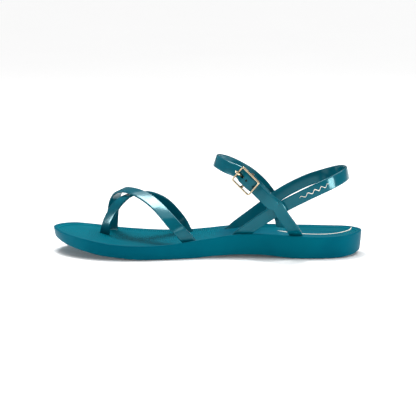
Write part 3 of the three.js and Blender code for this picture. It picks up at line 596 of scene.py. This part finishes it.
def prong_surface():
    """Round wire: the section is carried along the arm, and its radius closes in a half circle."""
    arm = [(-1.2, bar_z + 0.3), (-3.6, bar_z + 1.25), (-5.8, -0.9), (-bar_x + 1.5, 1.7), (-bar_x, 2.35),
           (-bar_x - 1.8, 2.3)]
    stations = [(a, 0, o, 0, 1, 0) for a, o in arm]
    t = np.concatenate([np.linspace(0, 0.93, 60), 1 - 0.07 * (1 - np.linspace(0, 1, 14)[1:]) ** 2])
    centre, across, face, along = follow(stations, t)
    left = np.clip(np.linalg.norm(centre - centre[-1], axis=1) / 0.95, 0, 1)
    radius = 0.95 * np.maximum(0.04, np.sqrt(1 - (1 - left) ** 2))
    turn_of = np.linspace(0, 2 * math.pi, 20, endpoint=False)
    return centre[:, None] + radius[:, None, None] * (across[:, None] * np.cos(turn_of)[None, :, None]
                                                      + face[:, None] * np.sin(turn_of)[None, :, None])


arm_points = prong_surface()
arm_last = (len(arm_points) - 1) * 20
arm_faces = grid_faces(len(arm_points), 20).tolist()
arm_faces += [list(range(20))[::-1], list(range(arm_last, arm_last + 20))]
prong = make_piece("buckle_pin", arm_points.reshape(-1, 3) @ buckle_axes + buckle_at, arm_faces, "prong",
                   50)


def eye_surface(inner, outer, half):
    """The prong's eye: a rounded section turned about the centre bar."""
    turn_of, around = (np.linspace(0, 2 * math.pi, n, endpoint=False) for n in (40, 20))
    r = (inner + outer) / 2 + np.sign(np.cos(around)) * np.abs(np.cos(around)) ** 0.8 * (outer - inner) / 2
    y = np.sign(np.sin(around)) * np.abs(np.sin(around)) ** 0.8 * half
    return np.stack([r[None] * np.cos(turn_of)[:, None], np.tile(y, (40, 1)),
                     r[None] * np.sin(turn_of)[:, None] + bar_z], -1)


eye = make_piece("eye", eye_surface(1.02, 2.28, 0.93).reshape(-1, 3) @ buckle_axes + buckle_at,
                 (grid_faces(41, 20) % 800).tolist(), None)
carve(prong, eye, "UNION")
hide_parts("buckle_prong")

# Printed line on the heel ---------------------------------------------------------------------
# A thin pale line printed on the footbed at the heel. It is laid on the moulded surface, and then
# its upper side is raised a little.
line_places = [(57, 5), (68, 0.4), (79, -2), (90, -1.5), (99.5, 0.5), (107, 3), (113, 7), (118, 12.5)]
line_stations = [(x, y, 0, 0, 1, 0) for x, y in line_places]
line_t = np.linspace(0, 1, 220)
line_at, line_side, _, _ = follow(line_stations, line_t)
line_at[:, 2] = 30
heel_print = ribbon("printed_line", line_at, line_side, np.tile((0, 0, 1), (220, 1)),
                    np.minimum(1.8, 0.4 + 30 * np.minimum(line_t, 1 - line_t)), 0.1, None)


def lay_on(piece, ground, lift):
    """Drops every point of a thin print straight down on a surface, `lift` millimetres above it."""
    step = piece.modifiers.new("lay", "SHRINKWRAP")
    step.target, step.wrap_method, step.use_project_z = ground, "PROJECT", True
    step.use_negative_direction, step.use_positive_direction = True, False
    step.offset = lift * MM
    bpy.context.view_layer.update()
    laid = bpy.data.meshes.new_from_object(piece.evaluated_get(bpy.context.evaluated_depsgraph_get()))
    piece.modifiers.clear()
    piece.data = laid


lay_on(heel_print, sole, 0.02)
laid = np.array([v.co for v in heel_print.data.vertices]).reshape(-1, 4, 3)
laid[:, 2:, 2] += 0.07 * MM
heel_print.data.vertices.foreach_set("co", laid.ravel())
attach(heel_print, "sole")


# Finishes -------------------------------------------------------------------------------------
# Deep turquoise vinyl in two sheens, matte tread vinyl, pale gold plating and pale print. The
# footbed's ribs and rows are drawn from the place and from the inset map; where the bed faces up they also
# lighten its colour, a painted highlight.
class Wire:
    """An output socket of a material. + - * / on it and its named methods add Math nodes."""

    def __init__(self, finish, socket):
        self.finish, self.socket = finish, socket

    def math(self, operation, *values):
        return self.finish.add("Math", {"operation": operation}, dict(enumerate(values)))

    def __add__(self, other):
        return self.math("ADD", self, other)

    def __mul__(self, other):
        return self.math("MULTIPLY", self, other)

    def __sub__(self, other):
        return self.math("SUBTRACT", self, other)

    def __rsub__(self, other):
        return self.math("SUBTRACT", other, self)

    def __truediv__(self, other):
        return self.math("DIVIDE", self, other)

    __radd__, __rmul__ = __add__, __mul__

    def wave(self, pitch):
        """Sine from 0 to 1 that repeats every `pitch`."""
        return self.math("SINE", self * (2 * math.pi / pitch)) * 0.5 + 0.5

    def rise(self, start, end):
        """Smooth step from 0 at `start` to 1 at `end`."""
        return self.finish.add("MapRange", {"interpolation_type": "SMOOTHSTEP"},
                               {0: self, 1: start, 2: end, 3: 0.0, 4: 1.0})


class Finish:
    """A material being built. add() makes any node: its settings first, then its sockets."""

    def __init__(self, name, **sockets):
        self.material = bpy.data.materials.new(name)
        self.material.use_nodes = True
        self.tree = self.material.node_tree
        self.shader = self.tree.nodes["Principled BSDF"]
        self.feed(self.shader, sockets)

    def feed(self, node, sockets):
        for key, value in sockets.items():
            socket = node.inputs[key]
            if isinstance(value, Wire):
                self.tree.links.new(value.socket, socket)
            else:
                socket.default_value = value

    def add(self, kind, settings=None, sockets=None, out=0):
        node = self.tree.nodes.new("ShaderNode" + kind)
        settings = dict(settings or {})
        stops = settings.pop("stops", None)
        for key, value in settings.items():
            setattr(node, key, value)
        for k, (place, colour) in enumerate(stops or ()):
            stop = node.color_ramp.elements[k] if k < 2 else node.color_ramp.elements.new(place)
            stop.position, stop.color = place, colour
        self.feed(node, sockets or {})
        return Wire(self, node.outputs[out])

    def noise(self, scale, detail=2.0, rough=0.5):
        return self.add("TexNoise", None, {"Vector": self.place(), "Scale": scale, "Detail": detail,
                                           "Roughness": rough})

    def place(self):
        return self.add("TexCoord", None, None, "Object")

    def axis(self, name):
        return self.add("SeparateXYZ", None, {0: self.place()}, name)

    def between(self, share, first, second):
        return self.add("Mix", {"data_type": "RGBA"}, {"Factor": share, 6: first, 7: second}, 2)

    def bump(self, height, strength, depth):
        return self.add("Bump", None, {"Height": height, "Strength": strength, "Distance": depth * MM})

    def on(self, *pieces):
        for piece in pieces:
            piece.data.materials.clear()
            piece.data.materials.append(self.material)
        return self


def shade(red, green, blue, level=1.0):
    """Display colour 0-255 to the linear value that a shader takes."""
    display = np.array([red, green, blue]) / 255
    linear = np.where(display <= 0.04045, display / 12.92, ((display + 0.055) / 1.055) ** 2.4) * level
    return (*linear.tolist(), 1.0)


sole_vinyl = Finish("sole_vinyl", **{"Specular IOR Level": 0.025, "Specular Tint": (0.3, 0.95, 1, 1),
                                     "IOR": 1.5})
x = sole_vinyl.axis("X") * 1000
y = sole_vinyl.axis("Y") * 1000
inset_map = sole_vinyl.add("UVMap", {"uv_map": "inset"})
inset = sole_vinyl.add("SeparateXYZ", None, {0: inset_map}, "X") * 1000
facing = sole_vinyl.add("TexCoord", None, None, "Normal")
up = sole_vinyl.add("SeparateXYZ", None, {0: facing}, "Z").rise(0.3, 0.7)
bow = (y - 2) * (y - 2) * 0.006
ribs = (x + bow).wave(1.5) * x.rise(-101, -97) * (1 - x.rise(2, 16)) * inset.rise(1.6, 2.6)
toe_rows = inset.wave(1.8) * (1 - x.rise(-101, -97)) * inset.rise(2, 3)
heel_rows = inset.wave(1.7) * x.rise(26, 40) * inset.rise(2.4, 3.4) * (1 - inset.rise(13, 16))
pattern = (ribs + toe_rows + heel_rows) * up
grain = sole_vinyl.noise(900.0, 3.0, 0.6)
cloud = sole_vinyl.noise(18.0, 3.0, 0.55)
deep, bright = shade(0, 79, 97), shade(0, 91, 108)
worn = sole_vinyl.between(cloud.rise(0.35, 0.7), deep, bright)
# The ribs and rows are real moulded relief (the bump). Only on upward-facing footbed, they also mix the
# colour toward a paler teal: painted highlight on the crests and on the upward-facing bed.
ribs_with_painted_highlight = sole_vinyl.between(pattern * 0.6, worn, shade(0, 118, 130))
sole_vinyl.feed(sole_vinyl.shader, {
    "Base Color": ribs_with_painted_highlight,
    "Roughness": cloud * 0.1 + grain * 0.06 + up * 0.1 + 0.24,
    "Normal": sole_vinyl.bump(pattern + grain * 0.08, 0.9, 0.35)})
sole_vinyl.on(sole)

strap_vinyl = Finish("strap_vinyl", **{"Specular IOR Level": 0.4, "Specular Tint": (0.5, 0.95, 1, 1),
                                       "IOR": 1.5})
cloud = strap_vinyl.noise(30.0, 3.0, 0.5)
speck = strap_vinyl.noise(1500.0, 2.0, 0.6)
ripple = strap_vinyl.noise(120.0, 2.0, 0.5)
strap_vinyl.feed(strap_vinyl.shader, {
    "Base Color": strap_vinyl.between(cloud.rise(0.3, 0.75), shade(0, 76, 91), shade(0, 88, 103)),
    "Roughness": cloud * 0.06 + speck * 0.05 + 0.1,
    "Normal": strap_vinyl.bump(ripple * 0.6 + speck * 0.1, 0.25, 0.12)})
strap_vinyl.on(over_strap, under_strap, heel_strap, long_strap, short_strap)

tread_vinyl = Finish("tread_vinyl", IOR=1.5)
grit = tread_vinyl.noise(1400.0, 4.0, 0.65)
patch = tread_vinyl.noise(40.0, 3.0, 0.5)
tread_vinyl.feed(tread_vinyl.shader, {
    "Base Color": tread_vinyl.between(patch.rise(0.3, 0.7), shade(0, 74, 92), shade(4, 88, 104)),
    "Roughness": grit * 0.2 + 0.55,
    "Normal": tread_vinyl.bump(grit, 0.5, 0.12)})
tread_vinyl.on(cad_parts["forefoot_tread"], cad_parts["heel_tread"])

plating = Finish("pale_gold_plating", **{"Metallic": 1.0})
smear = plating.noise(260.0, 3.0, 0.6)
fine = plating.noise(2600.0, 2.0, 0.5)
plating.feed(plating.shader, {
    "Base Color": plating.between(smear.rise(0.3, 0.7), shade(190, 172, 142), shade(214, 198, 170)),
    "Roughness": smear * 0.12 + fine * 0.05 + 0.14,
    "Normal": plating.bump(smear * 0.5 + fine * 0.2, 0.2, 0.05)})
plating.on(buckle, prong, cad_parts["fold_rivet_stud"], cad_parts["fold_rivet_cap"])

ink = Finish("pale_print", IOR=1.45)
flow = ink.noise(700.0, 3.0, 0.6)
ink.feed(ink.shader, {
    "Base Color": ink.between(flow.rise(0.35, 0.65), shade(226, 218, 200), shade(246, 242, 232)),
    "Roughness": flow * 0.2 + 0.35,
    "Normal": ink.bump(flow, 0.3, 0.03)})
ink.on(wave, heel_print)

# Floor and lights -----------------------------------------------------------------------------
# A wide pale floor just under the treads. A wide sky panel does most of the lighting, and four small
# softboxes give the straps their bright patches.
floor_mesh = bpy.data.meshes.new("floor")
corners = [(x, y, -0.05 * MM) for x, y in ((-20, -20), (20, -20), (20, 20), (-20, 20))]
floor_mesh.from_pydata(corners, [], [(0, 1, 2, 3)])
floor = bpy.data.objects.new("floor", floor_mesh)
bpy.context.scene.collection.objects.link(floor)
paper = Finish("paper", Roughness=0.6)
mottle = paper.between(paper.noise(3.0), (0.93, 0.93, 0.93, 1), (0.96, 0.96, 0.96, 1))
paper.feed(paper.shader, {"Base Color": mottle, "Emission Color": (1, 1, 1, 1), "Emission Strength": 0.05})
paper.on(floor)


def softbox(name, place, aim_at, width, height, power):
    """A rectangular light at `place`, in metres, that faces `aim_at`."""
    lamp = bpy.data.lights.new(name, "AREA")
    lamp.shape, lamp.size, lamp.size_y, lamp.energy = "RECTANGLE", width, height, power
    box = bpy.data.objects.new(name, lamp)
    bpy.context.scene.collection.objects.link(box)
    box.location = place
    direction = np.array(aim_at) - np.array(place)
    level = math.hypot(direction[0], direction[1])
    box.rotation_euler = (math.pi / 2 + math.atan2(direction[2], level), 0,
                          math.atan2(direction[1], direction[0]) - math.pi / 2)
    return box


softbox("overhead", (-0.2, 0.36, 1.05), (-0.04, 0, 0.03), 0.3, 0.4, 10)
softbox("left", (-1.15, -0.14, 0.09), (0, 0, 0.03), 0.3, 0.16, 6)
softbox("front_right", (1.0, -0.55, 0.14), (0.09, 0, 0.05), 0.38, 0.24, 7)
softbox("front", (0.1, -1.6, 0.35), (0, 0, 0.04), 0.5, 0.3, 2)
sky = bpy.data.lights.new("sky_panel", "SUN")
sky.energy, sky.angle = 2.7, math.radians(70)
sky_panel = bpy.data.objects.new("sky_panel", sky)
bpy.context.scene.collection.objects.link(sky_panel)
sky_panel.rotation_euler = (math.radians(-12), math.radians(8), 0)
world = bpy.data.worlds.new("studio")
world.use_nodes = True
world.node_tree.nodes["Background"].inputs["Color"].default_value = (1, 1, 1, 1)
world.node_tree.nodes["Background"].inputs["Strength"].default_value = 0.2
bpy.context.scene.world = world
bpy.context.scene.view_settings.view_transform = "Standard"
